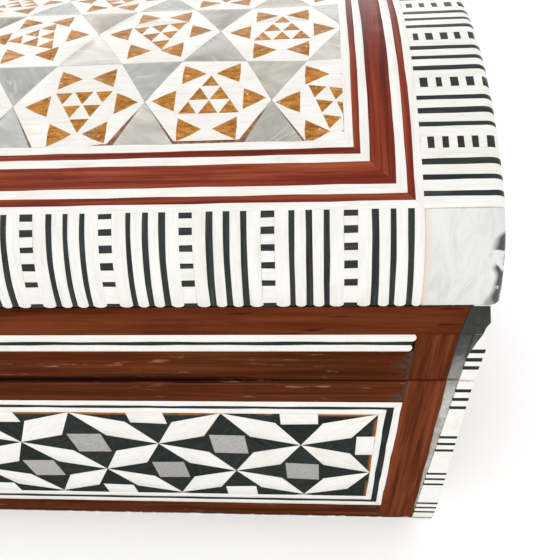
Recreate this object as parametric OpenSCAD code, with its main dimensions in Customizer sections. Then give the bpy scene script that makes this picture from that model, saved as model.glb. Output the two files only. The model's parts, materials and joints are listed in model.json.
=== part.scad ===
// Small wooden chest with a barrel lid, veneered with bone, ebony, red wood and mother-of-pearl inlay.
// X runs along the chest, the front faces -Y, Z is up, and the origin is the middle of the base.

/* [Chest] */
// Length of the chest over the foot of its end veneers
chest_w = 116; // [108:0.5:125]
// Depth of the chest, front face to back face
chest_d = 74; // [70:0.5:78]
// Height of the case up to the seam
case_h = 49.6; // [46:0.1:54]
// Open gap between the case and the closed lid
seam_gap = 0.5; // [0.3:0.1:0.8]
// Height of the crown of the lid above the base
crown_h = 77.5; // [74:0.5:80]

/* [Boards] */
// Thickness of the case walls and lid walls
wall_t = 5; // [4:0.5:6]
// Thickness of the bottom board
floor_t = 4; // [3:0.5:6]
// Thickness of the curved roof board
roof_t = 3; // [2:0.5:4]
// Thickness of the felt under the base
felt_t = 0.6; // [0.4:0.1:1]
// Thickness of the cloth lining
lining_t = 0.8; // [0.4:0.1:1.2]

/* [Roof arch] */
// Radius of the broad middle arc
roof_r = 60; // [55:1:65]
// Radius of the tight arcs above the eaves
eave_r = 15; // [13:0.5:17]
// Angle from upright at which the arcs meet
join_angle = 26.2; // [24:0.2:28]
// Height of the top edge of the side rails, where the eaves begin
eaves_z = 59.6; // [58:0.1:61]
// Height of the foot of the striped band
band_foot_z = 61.5; // [61:0.1:64]

/* [Veneers] */
// Thickness of the front, back and roof inlay
skin_t = 1.6; // [1.2:0.1:2]
// Thickness of the end veneers at their foot
end_t = 3.7; // [3:0.1:4]
// How far the end veneers lean in between their foot and the seam
end_lean = 1.9; // [0:0.1:2]
// How far the roof inlay stops short of the foot of the end veneers
roof_inset = 0.7; // [0:0.1:1.5]
// Width of the filler strip beside each end veneer
glue_w = 1; // [0.8:0.1:2]
// Width of the upright corner posts
post_w = 5.3; // [4:0.1:7]
// Clearance round each inlaid piece
piece_gap = 0.05; // [0.03:0.01:0.1]
// Width of ground left at the lozenges' meeting points
neck_w = 0.12; // [0.1:0.01:0.2]

/* [Front and back panels] */
// Height of the bottom edge of the panel's line border
panel_z0 = 6.4; // [5:0.1:8]
// Height of the top edge of the panel's line border
panel_z1 = 44.3; // [42:0.1:46]
// Widths of the white, black and white lines under the panel
line_low = [1.65, 1.0, 1.65]; // [0.6:0.05:2]
// Widths of the white, black and white lines over the panel
line_high = [1.35, 0.7, 1.35]; // [0.6:0.05:2]
// Widths of the white, black and white lines beside the panel
line_side = [1.0, 0.95, 0.95]; // [0.6:0.05:2]
// Repeat of the lozenge lattice along the panel
lattice_w = 21.7; // [20:0.1:23]
// Repeat of the lozenge lattice up the panel
lattice_h = 19.75; // [18:0.05:21]
// Half width of a white lozenge across its middle
lozenge_half_w = 3; // [2.5:0.1:3.2]
// Width of a square in a lattice cell
square_w = 5.3; // [4.5:0.1:6]
// Height of a square in a lattice cell
square_h = 6.2; // [5:0.1:6.5]

/* [Lid line] */
// Height at which the lid's line begins
lid_line_z = 56.3; // [55:0.1:57]
// Widths of the white, black and white lines on the lid's rail
lid_line = [1.3, 0.65, 1.35]; // [0.5:0.05:1.6]

/* [Roof inlay] */
// Distance from the end of the roof inlay to the star mosaic
mosaic_inset = 17.2; // [16:0.1:19]
// Length of the arc from the crown to the edge of the mosaic
mosaic_arc = 20.9; // [19:0.1:22]
// Star rows' pitch along the chest
star_pitch = 16.1; // [15:0.1:17]
// Side of a wooden star point as a part of the star's radius
point_part = 0.44; // [0.35:0.01:0.5]
// Widths of the border lines outwards: white, red, white, red band, white, red, white
border = [1.0, 0.8, 1.0, 2.75, 1.1, 0.85, 0.9]; // [0.6:0.05:3.2]
// Pitch of the striped pattern along the front and back bands
band_pitch = 9.04; // [8:0.01:10]
// Pitch of the striped pattern round the end bands
end_band_pitch = 8.6; // [8:0.05:9.5]
// Pitch of the three black stripes in one pattern
stripe_pitch = 1.9; // [1.6:0.1:2.2]
// Width of a black stripe
stripe_w = 0.72; // [0.5:0.01:1]
// Width of a ladder square across the stripes
rung_w = 1.5; // [1:0.1:2]
// Pitch of the ladder squares
rung_pitch = 1.82; // [1.6:0.01:2]

/* [End veneers] */
// Width of the striped border of the end veneers
end_border_w = 8.75; // [7:0.25:10]
// Pitch of the groups of black lines in the end borders
end_group_pitch = 13.2; // [12:0.1:15]
// Pitch of the lines in a group
end_line_pitch = 2.2; // [1.8:0.1:2.5]
// Width of a line in the end borders
end_line_w = 0.8; // [0.5:0.1:1]

/* [Hinges] */
// Distance of each hinge from the middle of the chest
hinge_x = 30; // [20:1:38]
// Length of a hinge
hinge_l = 14; // [10:1:18]
// Radius of a hinge knuckle
knuckle_r = 1.4; // [1.2:0.1:1.6]
// Radius of a hinge pin
pin_r = 0.6; // [0.5:0.05:0.8]
// Thickness of a hinge leaf
leaf_t = 0.8; // [0.6:0.1:1]
// Distance of the hinge axis inside the back face
axis_inset = 1.5; // [1.5:0.1:2]
// Angle that the bevels behind the hinge axis allow the lid to open
opening_angle = 110; // [100:1:115]

/* [Hidden] */
$fn = 96;

half_w = chest_w / 2;
half_d = chest_d / 2;
lid_z = case_h + seam_gap;

// Along X, from the middle outwards
end_x = half_w - end_t;
post_x1 = end_x - glue_w;
post_x0 = post_x1 - post_w;
board_x = end_x - wall_t;
panel_x = post_x0 - line_side[0] - line_side[1] - line_side[2];

// Along Y, from the middle outwards
carcass_y = half_d - skin_t;
inner_y = carcass_y - wall_t;

// Panel field inside its line border
field_z0 = panel_z0 + line_low[0] + line_low[1] + line_low[2];
field_z1 = panel_z1 - line_high[0] - line_high[1] - line_high[2];
lattice_columns = floor(4 * panel_x / lattice_w);

// Roof arch: centres of the middle arc and of the eave arcs, as [y, z] at the back half
roof_cz = crown_h - roof_r;
eave_cy = (roof_r - eave_r) * sin(join_angle);
eave_cz = roof_cz + (roof_r - eave_r) * cos(join_angle);
join_arc = roof_r * join_angle * PI / 180;
band_foot_y = eave_cy + sqrt(pow(eave_r, 2) - pow(band_foot_z - eave_cz, 2));
band_foot_angle = acos((band_foot_z - eave_cz) / eave_r);
band_foot_arc = join_arc + eave_r * (band_foot_angle - join_angle) * PI / 180;
roof_x = half_w - roof_inset;
mosaic_x = roof_x - mosaic_inset;
lines_w = sum(border, len(border));
band_x = mosaic_x + lines_w;
band_arc = mosaic_arc + lines_w;
mastic_t = 0.5;
lid_line_pitch = end_line_pitch * 0.8;
row_pitch = star_pitch * sqrt(3) / 2;

// Hinge axis and the knuckles round it
axis_y = half_d - axis_inset;
axis_z = case_h + seam_gap / 2;
knuckle_room = knuckle_r + 0.4;
knuckle_l = hinge_l / 3;
knuckle_gap = 0.15;
screw_head_r = 1.1;
screw_shank_r = 0.5;
screw_l = 5;
screw_y = (inner_y + axis_y - knuckle_r) / 2;
screw_offset = hinge_l / 3.2;
reach = 400;

function sum(list, count) = count == 0 ? 0 : list[count - 1] + sum(list, count - 1);

// Angle from upright, and place [y, z], of the roof surface at an arc length from the crown
function arch_angle(s) = abs(s) <= join_arc
    ? s / roof_r * 180 / PI
    : sign(s) * (join_angle + (abs(s) - join_arc) / eave_r * 180 / PI);
function arch_y(s) = abs(s) <= join_arc
    ? roof_r * sin(arch_angle(s))
    : sign(s) * (eave_cy + eave_r * sin(abs(arch_angle(s))));
function arch_z(s) = abs(s) <= join_arc
    ? roof_cz + roof_r * cos(arch_angle(s))
    : eave_cz + eave_r * cos(arch_angle(s));

// Places an outline drawn in Y and Z and gives it a length along X
module along_x(x0, x1) {
    translate([x0, 0, 0])
        rotate([90, 0, 90])
            linear_extrude(x1 - x0)
                children();
}

// Places an outline drawn in X and Z and gives it a thickness along Y
module along_y(y0, y1) {
    translate([0, y1, 0])
        rotate([90, 0, 0])
            linear_extrude(y1 - y0)
                children();
}

module block(low, high) {
    translate(low)
        cube(high - low);
}

module both_ends() {
    children();
    mirror([1, 0, 0])
        children();
}

module both_faces() {
    children();
    mirror([0, 1, 0])
        children();
}

module rect(low, high) {
    translate(low)
        square(high - low);
}

// Area under the roof surface, drawn in Y and Z, moved inwards by off
module arch(off) {
    intersection() {
        translate([0, roof_cz])
            circle(roof_r - off);
        polygon([
            [0, roof_cz],
            [reach * sin(join_angle), roof_cz + reach * cos(join_angle)],
            [-reach * sin(join_angle), roof_cz + reach * cos(join_angle)]
        ]);
    }
    for (side = [-1, 1])
        translate([side * eave_cy, eave_cz])
            circle(eave_r - off);
}

module arch_above(off, z) {
    intersection() {
        arch(off);
        rect([-half_d, z], [half_d, crown_h + 1]);
    }
}

// A layer of the roof between two depths, above the foot of the striped band
module roof_layer(off0, off1, x1) {
    along_x(-x1, x1)
        difference() {
            arch_above(off0, band_foot_z);
            arch(off1);
        }
}

// Cuts a layer of the roof to an outline drawn from above
module roof_pieces(off0, off1) {
    intersection() {
        roof_layer(off0, off1, roof_x);
        linear_extrude(crown_h + 1)
            children();
    }
}

// Outline seen from above that reaches to a place along X and an arc length from the crown
module plan_rect(x, s) {
    rect([-x, -arch_y(s)], [x, arch_y(s)]);
}

// Space behind the hinge axis that lets the lid lean back, and room for the knuckles
module hinge_room() {
    half = opening_angle / 2 + 1;
    along_x(-half_w - 1, half_w + 1)
        polygon([
            [axis_y, axis_z],
            [axis_y + 5, axis_z - 5 * tan(half)],
            [axis_y + 5, axis_z + 5 * tan(half)]
        ]);
    for (side = [-1, 1])
        translate([side * hinge_x, axis_y, axis_z])
            rotate([0, 90, 0])
                cylinder(h = hinge_l + 0.8, r = knuckle_room, center = true);
}

// Mortises for the leaves and pilot holes for their screws, below or above the seam
module leaf_mortises(z0, z1, screw_z0, screw_z1) {
    for (side = [-1, 1]) {
        block([side * hinge_x - hinge_l / 2, inner_y - 1, z0], [side * hinge_x + hinge_l / 2, axis_y, z1]);
        for (place = [-1, 1])
            translate([side * hinge_x + place * screw_offset, screw_y, screw_z0])
                cylinder(h = screw_z1 - screw_z0, r = screw_shank_r);
    }
}

// ---- Case carcass ----

module base_felt() {
    color("#3a2f2a")
        block([-half_w, -half_d, 0], [half_w, half_d, felt_t]);
}

module bottom_board() {
    color("#8a5a34")
        block([-board_x, -inner_y, felt_t], [board_x, inner_y, felt_t + floor_t]);
}

module front_wall() {
    color("#8a5a34")
        block([-end_x, -carcass_y, felt_t], [end_x, -inner_y, case_h]);
}

module back_wall() {
    color("#8a5a34")
        difference() {
            block([-end_x, inner_y, felt_t], [end_x, carcass_y, case_h]);
            hinge_room();
            leaf_mortises(case_h - leaf_t, case_h + 1, case_h - screw_l, case_h);
        }
}

module right_wall() {
    color("#8a5a34")
        block([board_x, -inner_y, felt_t], [end_x, inner_y, case_h]);
}

module left_wall() {
    mirror([1, 0, 0])
        right_wall();
}

// Room inside the wall lining, between two heights
module lined_room(z0, z1) {
    x = board_x - lining_t;
    y = inner_y - lining_t;
    block([-x, -y, z0], [x, y, z1]);
}

module floor_lining() {
    z = felt_t + floor_t;
    color("#7c1420")
        lined_room(z, z + lining_t);
}

module wall_lining() {
    z = felt_t + floor_t;
    color("#7c1420")
        difference() {
            block([-board_x, -inner_y, z], [board_x, inner_y, case_h - leaf_t - 0.2]);
            lined_room(z - 1, case_h);
        }
}

// ---- Front and back faces of the case ----

module rail_pair() {
    block([-post_x0, -half_d, felt_t], [post_x0, -carcass_y, panel_z0]);
    block([-post_x0, -half_d, panel_z1], [post_x0, -carcass_y, case_h]);
}

module front_rails() {
    color("#69301a")
        rail_pair();
}

module back_rails() {
    color("#69301a")
        difference() {
            mirror([0, 1, 0])
                rail_pair();
            hinge_room();
        }
}

module case_posts() {
    color("#69301a")
        difference() {
            both_faces()
                both_ends()
                    block([post_x0, -half_d, felt_t], [post_x1, -carcass_y, case_h]);
            hinge_room();
        }
}

module case_corner_glue() {
    color("#5a5a55")
        difference() {
            both_faces()
                both_ends()
                    block([post_x1, -half_d, felt_t], [end_x, -carcass_y, case_h]);
            hinge_room();
        }
}

// Ring round the panel between two of its border lines, counted from the outside
module panel_ring(first, last) {
    side0 = sum(line_side, first);
    side1 = sum(line_side, last);
    low0 = sum(line_low, first);
    low1 = sum(line_low, last);
    high0 = sum(line_high, first);
    high1 = sum(line_high, last);
    difference() {
        rect([-post_x0 + side0, panel_z0 + low0], [post_x0 - side0, panel_z1 - high0]);
        rect([-post_x0 + side1, panel_z0 + low1], [post_x0 - side1, panel_z1 - high1]);
    }
}

module line_bone() {
    along_y(-half_d, -carcass_y) {
        panel_ring(0, 1);
        panel_ring(2, 3);
    }
}

module line_ebony() {
    along_y(-half_d, -carcass_y)
        panel_ring(1, 2);
}

// Places something on the lattice, counted from the panel's upper right corner in half repeats
module on_lattice(column, row) {
    translate([panel_x - column * lattice_w / 2, field_z1 - row * lattice_h / 2])
        children();
}

// Lozenges along the diagonals of the lattice; way is 1 where one leans to the right
module lozenges(gap) {
    half_l = norm([lattice_w, lattice_h]) / 4 - 2.5 * gap;
    lean = atan2(lattice_h, lattice_w);
    for (column = [0 : lattice_columns])
        for (row = [0 : 2]) {
            way = (column + row) % 2 == 0 ? 1 : -1;
            on_lattice(column + 0.5, row + 0.5)
                rotate(way * lean)
                    polygon([
                        [half_l, 0],
                        [0, lozenge_half_w - gap],
                        [-half_l, 0],
                        [0, -lozenge_half_w + gap]
                    ]);
        }
}

// Squares at the centres of the lattice's cells: whole ones, or those that the border cuts
module squares(gap, whole) {
    for (column = [0 : lattice_columns])
        for (row = [0 : 3]) {
            cut = row == 0 || row == 3 || column == 0;
            if ((column + row) % 2 == 1 && cut != whole)
                on_lattice(column, row)
                    square([square_w - 2 * gap, square_h - 2 * gap], center = true);
        }
}

module field() {
    rect([-panel_x, field_z0], [panel_x, field_z1]);
}

module panel_ebony() {
    along_y(-half_d, -carcass_y)
        difference() {
            field();
            lozenges(neck_w);
            squares(neck_w, true);
            squares(neck_w, false);
        }
}

module panel_bone() {
    along_y(-half_d, -carcass_y)
        intersection() {
            field();
            union() {
                lozenges(neck_w + piece_gap);
                squares(neck_w + piece_gap, false);
            }
        }
}

module panel_grey() {
    along_y(-half_d, -carcass_y)
        intersection() {
            field();
            squares(neck_w + piece_gap, true);
        }
}

module front_panel_ebony() {
    color("#282c2a")
        panel_ebony();
}

module front_panel_bone() {
    color("#f2f0ea")
        panel_bone();
}

module front_panel_grey() {
    color("#b2b0aa")
        panel_grey();
}

module front_line_bone() {
    color("#f2f0ea")
        line_bone();
}

module front_line_ebony() {
    color("#282c2a")
        line_ebony();
}

module back_panel_ebony() {
    color("#282c2a")
        rotate(180)
            panel_ebony();
}

module back_panel_bone() {
    color("#f2f0ea")
        rotate(180)
            panel_bone();
}

module back_panel_grey() {
    color("#b2b0aa")
        rotate(180)
            panel_grey();
}

module back_line_bone() {
    color("#f2f0ea")
        rotate(180)
            line_bone();
}

module back_line_ebony() {
    color("#282c2a")
        rotate(180)
            line_ebony();
}

// ---- End faces of the case ----

// Cuts an end veneer to its face, which leans in up to the seam and stands upright over it
module leaning_face() {
    foot_z = panel_z0;
    intersection() {
        children();
        along_y(-half_d - 1, half_d + 1)
            polygon([
                [0, 0],
                [half_w, 0],
                [half_w, foot_z],
                [half_w - end_lean, case_h],
                [half_w - end_lean, crown_h],
                [0, crown_h]
            ]);
    }
}

module end_field() {
    rect([-half_d + end_border_w, felt_t], [half_d - end_border_w, case_h]);
}

// Groups of three lines across the upright borders
module end_lines() {
    first = felt_t + 5;
    for (group = [0 : 3])
        for (line = [-1 : 1])
            for (side = [-1, 1])
                translate([
                    side * (half_d - end_border_w / 2),
                    first + group * end_group_pitch + line * end_line_pitch
                ])
                    square([end_border_w, end_line_w], center = true);
}

module end_panel() {
    leaning_face()
        along_x(end_x, half_w)
            end_field();
}

module border_bone() {
    difference() {
        leaning_face()
            along_x(end_x, half_w)
                difference() {
                    rect([-half_d, felt_t], [half_d, case_h]);
                    end_field();
                    end_lines();
                }
        hinge_room();
    }
}

module border_ebony() {
    difference() {
        leaning_face()
            along_x(end_x, half_w)
                end_lines();
        hinge_room();
    }
}

module right_end_panel() {
    color("#69301a")
        end_panel();
}

module right_border_bone() {
    color("#f2f0ea")
        border_bone();
}

module right_border_ebony() {
    color("#282c2a")
        border_ebony();
}

module left_end_panel() {
    mirror([1, 0, 0])
        right_end_panel();
}

module left_border_bone() {
    mirror([1, 0, 0])
        right_border_bone();
}

module left_border_ebony() {
    mirror([1, 0, 0])
        right_border_ebony();
}

// ---- Lid boards ----

module lid_front_wall() {
    color("#8a5a34")
        block([-end_x, -carcass_y, lid_z], [end_x, -inner_y, eaves_z]);
}

module lid_back_wall() {
    color("#8a5a34")
        difference() {
            block([-end_x, inner_y, lid_z], [end_x, carcass_y, eaves_z]);
            hinge_room();
            leaf_mortises(lid_z - 1, lid_z + leaf_t, lid_z, lid_z + screw_l);
        }
}

// The gable stands between the lid walls and fills the arch above them
module right_gable() {
    color("#8a5a34")
        along_x(board_x, end_x) {
            arch_above(skin_t, eaves_z);
            rect([-inner_y, lid_z], [inner_y, eaves_z]);
        }
}

module left_gable() {
    mirror([1, 0, 0])
        right_gable();
}

module roof_board() {
    color("#8a5a34")
        along_x(-board_x, board_x)
            difference() {
                arch_above(skin_t, eaves_z);
                arch(skin_t + roof_t);
            }
}

module lid_lining() {
    roof_off = skin_t + roof_t;
    color("#7c1420")
        along_x(-board_x, board_x)
            difference() {
                union() {
                    arch_above(roof_off, eaves_z);
                    rect([-inner_y, lid_z + leaf_t + 0.2], [inner_y, eaves_z]);
                }
                arch(roof_off + lining_t);
                rect([-inner_y + lining_t, lid_z - 1], [inner_y - lining_t, eaves_z]);
            }
}

// ---- Lid faces ----

module lid_rails() {
    color("#69301a")
        difference() {
            both_faces()
                block([-post_x0, -half_d, lid_z], [post_x0, -carcass_y, lid_line_z]);
            hinge_room();
        }
}

module lid_posts() {
    color("#69301a")
        difference() {
            both_faces()
                both_ends()
                    block([post_x0, -half_d, lid_z], [post_x1, -carcass_y, eaves_z]);
            hinge_room();
        }
}

module lid_corner_glue() {
    color("#5a5a55")
        difference() {
            both_faces()
                both_ends()
                    block([post_x1, -half_d, lid_z], [end_x, -carcass_y, eaves_z]);
            hinge_room();
        }
}

// Slope between the top of the rail and the foot of the striped band
module eaves_outline(inner) {
    for (side = [-1, 1])
        polygon([
            [side * half_d, eaves_z],
            [side * band_foot_y, band_foot_z],
            [side * (band_foot_y - inner), band_foot_z],
            [side * (band_foot_y - inner), eaves_z]
        ]);
}

module lid_eaves() {
    color("#7a3a20")
        along_x(-end_x, end_x)
            difference() {
                eaves_outline(3);
                arch(skin_t);
            }
}

// One of the lines along the lid's rails, counted from below
module lid_line_strip(index) {
    z0 = lid_line_z + sum(lid_line, index);
    both_faces()
        block([-post_x0, -half_d, z0], [post_x0, -carcass_y, z0 + lid_line[index]]);
}

module lid_line_bone() {
    color("#f2f0ea") {
        lid_line_strip(0);
        lid_line_strip(2);
    }
}

module lid_line_ebony() {
    color("#282c2a")
        lid_line_strip(1);
}

// Outline of the lid's end veneer, under the roof inlay
module lid_end_outline() {
    arch_above(skin_t, eaves_z);
    eaves_outline(3);
    rect([-half_d, lid_z], [half_d, eaves_z]);
}

// The field's sides run up into its arch without a step
module lid_end_field() {
    field_y = half_d - end_border_w;
    arch_above(eave_cy + eave_r - field_y, lid_z);
    rect([-field_y, lid_z], [field_y, eave_cz]);
}

// Lines across the lid's end border: one group over each seam, then groups round the arch
module lid_end_lines() {
    for (side = [-1, 1])
        for (line = [0 : 2])
            translate([side * (half_d - end_border_w / 2), lid_z + 2.7 + line * lid_line_pitch])
                square([end_border_w, end_line_w], center = true);
    for (group = [-2 : 2])
        for (line = [-1 : 1]) {
            s = group * end_group_pitch + line * end_line_pitch;
            translate([arch_y(s), arch_z(s)])
                rotate(-arch_angle(s))
                    translate([0, -skin_t - end_border_w / 2])
                        square([end_line_w, end_border_w], center = true);
        }
}

module lid_end_panel() {
    along_x(end_x, half_w - end_lean)
        lid_end_field();
}

module lid_border_bone() {
    difference() {
        along_x(end_x, half_w - end_lean)
            difference() {
                lid_end_outline();
                lid_end_field();
                lid_end_lines();
            }
        hinge_room();
    }
}

module lid_border_ebony() {
    difference() {
        along_x(end_x, half_w - end_lean)
            intersection() {
                difference() {
                    lid_end_outline();
                    lid_end_field();
                }
                lid_end_lines();
            }
        hinge_room();
    }
}

module lid_right_end_panel() {
    color("#69301a")
        lid_end_panel();
}

module lid_right_border_bone() {
    color("#f2f0ea")
        lid_border_bone();
}

module lid_right_border_ebony() {
    color("#282c2a")
        lid_border_ebony();
}

module lid_left_end_panel() {
    mirror([1, 0, 0])
        lid_right_end_panel();
}

module lid_left_border_bone() {
    mirror([1, 0, 0])
        lid_right_border_bone();
}

module lid_left_border_ebony() {
    mirror([1, 0, 0])
        lid_right_border_ebony();
}

// ---- Roof inlay ----

module roof_mastic() {
    color("#5b4632")
        roof_pieces(skin_t - mastic_t, skin_t)
            plan_rect(mosaic_x, mosaic_arc);
}

// Outline, seen from above, of a regular tile drawn flat on the unrolled roof
function on_roof(points) = [for (p = points) [p[0], arch_y(p[1])]];
function hexagon(x, s, r) = [for (k = [0 : 5]) [x + r * cos(60 * k), s + r * sin(60 * k)]];
function triangle(x, s, r, turn) = [
    for (k = [0 : 2]) [x + r * cos(120 * k + turn), s + r * sin(120 * k + turn)]
];

// Centres of the stars, which touch tip to tip in rows; the outer rows end with half stars
function star_places() = [
    for (row = [-1 : 1])
        for (column = [-3 : 3])
            [(column + abs(row) / 2) * star_pitch, row * row_pitch]
];

module star_outlines() {
    for (place = star_places())
        polygon(on_roof(hexagon(place[0], place[1], star_pitch / 2 - 2 * piece_gap)));
}

// Six points round each star and a triangle at its heart
module star_point_outlines(gap) {
    side = point_part * star_pitch / 2;
    for (place = star_places()) {
        for (k = [0 : 5]) {
            out = star_pitch / 2 * 0.9 - side / sqrt(3);
            x = place[0] + out * cos(60 * k);
            s = place[1] + out * sin(60 * k);
            polygon(on_roof(triangle(x, s, side / sqrt(3) - gap, 60 * k)));
        }
        polygon(on_roof(triangle(place[0], place[1], star_pitch / 4 - gap, 90)));
    }
}

// Pearl triangles fill the gaps between three stars
module pearl_outlines() {
    r = star_pitch / 2 / sqrt(3) - 2 * piece_gap;
    for (row = [-2 : 2])
        for (column = [-4 : 4])
            for (up = [-1, 1]) {
                shift = row % 2 == 0 ? 0.5 : 0;
                x = (column + shift) * star_pitch;
                s = row * row_pitch + up * star_pitch / 2 / sqrt(3);
                polygon(on_roof(triangle(x, s, r, -90 * up)));
            }
}

module mosaic_pieces() {
    roof_pieces(0, skin_t - mastic_t)
        intersection() {
            plan_rect(mosaic_x - piece_gap, mosaic_arc - piece_gap);
            children();
        }
}

module roof_stars() {
    color("#efe9dc")
        mosaic_pieces()
            difference() {
                star_outlines();
                star_point_outlines(0);
            }
}

module roof_star_points() {
    color("#c8873c")
        mosaic_pieces()
            star_point_outlines(piece_gap);
}

module roof_pearl() {
    color("#b9bebe")
        mosaic_pieces()
            pearl_outlines();
}

// One line of the border round the mosaic, counted from the inside
module border_ring(index) {
    inside = sum(border, index);
    outside = sum(border, index + 1);
    difference() {
        plan_rect(mosaic_x + outside, mosaic_arc + outside);
        plan_rect(mosaic_x + inside, mosaic_arc + inside);
    }
}

module roof_lines_bone() {
    color("#f2f0ea")
        roof_pieces(0, skin_t)
            for (index = [0, 2, 4, 6])
                border_ring(index);
}

module roof_lines_red() {
    color("#782818")
        roof_pieces(0, skin_t)
            for (index = [1, 3, 5])
                border_ring(index);
}

// Outline of the four striped bands, without the corner blocks
module band_outline() {
    rect([-band_x, -half_d], [band_x, -arch_y(band_arc)]);
    rect([-band_x, arch_y(band_arc)], [band_x, half_d]);
    rect([band_x, -arch_y(band_arc)], [roof_x, arch_y(band_arc)]);
    rect([-roof_x, -arch_y(band_arc)], [-band_x, arch_y(band_arc)]);
}

// Stripes and ladder squares of the front and back bands
module long_band_ebony() {
    stripe_y = arch_y(band_arc + 0.5);
    both_faces()
        for (column = [-5 : 5]) {
            for (line = [-1 : 1])
                translate([column * band_pitch + line * stripe_pitch - stripe_w / 2, -half_d])
                    square([stripe_w, half_d - stripe_y]);
            for (k = [0 : 5]) {
                s = band_arc + 0.6 + k * rung_pitch;
                x = (column + 0.5) * band_pitch;
                rect([x - rung_w / 2, -arch_y(s + stripe_w)], [x + rung_w / 2, -arch_y(s)]);
            }
        }
}

// Stripes and ladder squares of the bands over the ends
module end_band_ebony() {
    both_ends()
        for (group = [-3 : 3]) {
            for (line = [-1 : 1]) {
                s = group * end_band_pitch + line * stripe_pitch;
                rect([band_x + 0.5, arch_y(s - stripe_w / 2)], [roof_x, arch_y(s + stripe_w / 2)]);
            }
            for (k = [0 : 4]) {
                s = (group + 0.5) * end_band_pitch;
                x = band_x + 1.2 + k * rung_pitch;
                rect([x - stripe_w / 2, arch_y(s - rung_w / 2)], [x + stripe_w / 2, arch_y(s + rung_w / 2)]);
            }
        }
}

module ebony_outline() {
    intersection() {
        band_outline();
        union() {
            long_band_ebony();
            end_band_ebony();
        }
    }
}

module roof_band_bone() {
    color("#f2f0ea")
        roof_pieces(0, skin_t)
            difference() {
                band_outline();
                ebony_outline();
            }
}

module roof_band_ebony() {
    color("#282c2a")
        roof_pieces(0, skin_t)
            ebony_outline();
}

module roof_corner_blocks() {
    color("#e9e8e4")
        roof_pieces(0, skin_t)
            both_faces()
                both_ends()
                    rect([band_x, -half_d], [roof_x, -arch_y(band_arc)]);
}

// ---- Hinges ----

// Barrel piece between two places along one hinge, and the tongue that joins it to its leaf
module knuckle(x0, x1, leaf_z) {
    translate([x0, axis_y, axis_z])
        rotate([0, 90, 0])
            difference() {
                cylinder(h = x1 - x0, r = knuckle_r);
                translate([0, 0, -1])
                    cylinder(h = x1 - x0 + 2, r = pin_r + 0.05);
            }
    block([x0, axis_y - knuckle_room - 0.1, leaf_z], [x1, axis_y - pin_r - 0.3, leaf_z + leaf_t]);
}

// Plate of a leaf with countersinks for two screws
module leaf_plate(x0, x1, z0, z1) {
    difference() {
        block([x0, inner_y + 0.2, z0], [x1, axis_y - knuckle_room, z1]);
        for (place = [-1, 1])
            translate([(x0 + x1) / 2 + place * screw_offset, screw_y, z0 - 1])
                cylinder(h = z1 - z0 + 2, r = screw_head_r);
    }
}

module case_hinge_leaves() {
    color("#b5893c")
        for (side = [-1, 1])
            translate([side * hinge_x, 0, 0]) {
                leaf_plate(-hinge_l / 2, hinge_l / 2, case_h - leaf_t, case_h);
                knuckle(-hinge_l / 2, -knuckle_l / 2 - knuckle_gap, case_h - leaf_t);
                knuckle(knuckle_l / 2 + knuckle_gap, hinge_l / 2, case_h - leaf_t);
            }
}

module lid_hinge_leaves() {
    color("#b5893c")
        for (side = [-1, 1])
            translate([side * hinge_x, 0, 0]) {
                leaf_plate(-hinge_l / 2, hinge_l / 2, lid_z, lid_z + leaf_t);
                knuckle(-knuckle_l / 2 + knuckle_gap, knuckle_l / 2 - knuckle_gap, lid_z);
            }
}

module hinge_pins() {
    color("#8d8d8a")
        for (side = [-1, 1])
            translate([side * hinge_x - hinge_l / 2, axis_y, axis_z])
                rotate([0, 90, 0])
                    cylinder(h = hinge_l, r = pin_r);
}

// Flat-headed screws; flip is -1 under the seam and 1 over it
module screws(z, flip) {
    for (side = [-1, 1])
        for (place = [-1, 1])
            translate([side * hinge_x + place * screw_offset, screw_y, z])
                mirror([0, 0, flip > 0 ? 0 : 1]) {
                    cylinder(h = leaf_t, r = screw_head_r);
                    cylinder(h = screw_l, r = screw_shank_r);
                }
}

module case_hinge_screws() {
    color("#c9a45a")
        screws(case_h, -1);
}

module lid_hinge_screws() {
    color("#c9a45a")
        screws(lid_z, 1);
}

base_felt();
bottom_board();
front_wall();
back_wall();
left_wall();
right_wall();
floor_lining();
wall_lining();
front_rails();
back_rails();
case_posts();
case_corner_glue();
front_panel_ebony();
front_panel_bone();
front_panel_grey();
front_line_bone();
front_line_ebony();
back_panel_ebony();
back_panel_bone();
back_panel_grey();
back_line_bone();
back_line_ebony();
right_end_panel();
right_border_bone();
right_border_ebony();
left_end_panel();
left_border_bone();
left_border_ebony();
case_hinge_leaves();
hinge_pins();
case_hinge_screws();
lid_front_wall();
lid_back_wall();
left_gable();
right_gable();
roof_board();
lid_lining();
lid_rails();
lid_posts();
lid_corner_glue();
lid_eaves();
lid_line_bone();
lid_line_ebony();
lid_right_end_panel();
lid_right_border_bone();
lid_right_border_ebony();
lid_left_end_panel();
lid_left_border_bone();
lid_left_border_ebony();
roof_mastic();
roof_stars();
roof_star_points();
roof_pearl();
roof_lines_bone();
roof_lines_red();
roof_band_bone();
roof_band_ebony();
roof_corner_blocks();
lid_hinge_leaves();
lid_hinge_screws();
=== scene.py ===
"""Looks of the small inlaid chest: inlay tiles, woods, lining and metal, round the CAD frame.

Sizes are in millimetres, as in the design; MM turns them into Blender's metres. Tiles are drawn flat as
(u, v) with a height h over the surface, and are then wrapped onto the front, the back or the roof.
"""
import json
import math
import random

import bmesh
import bpy
import numpy as np
from mathutils import Matrix, Vector, noise


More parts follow.
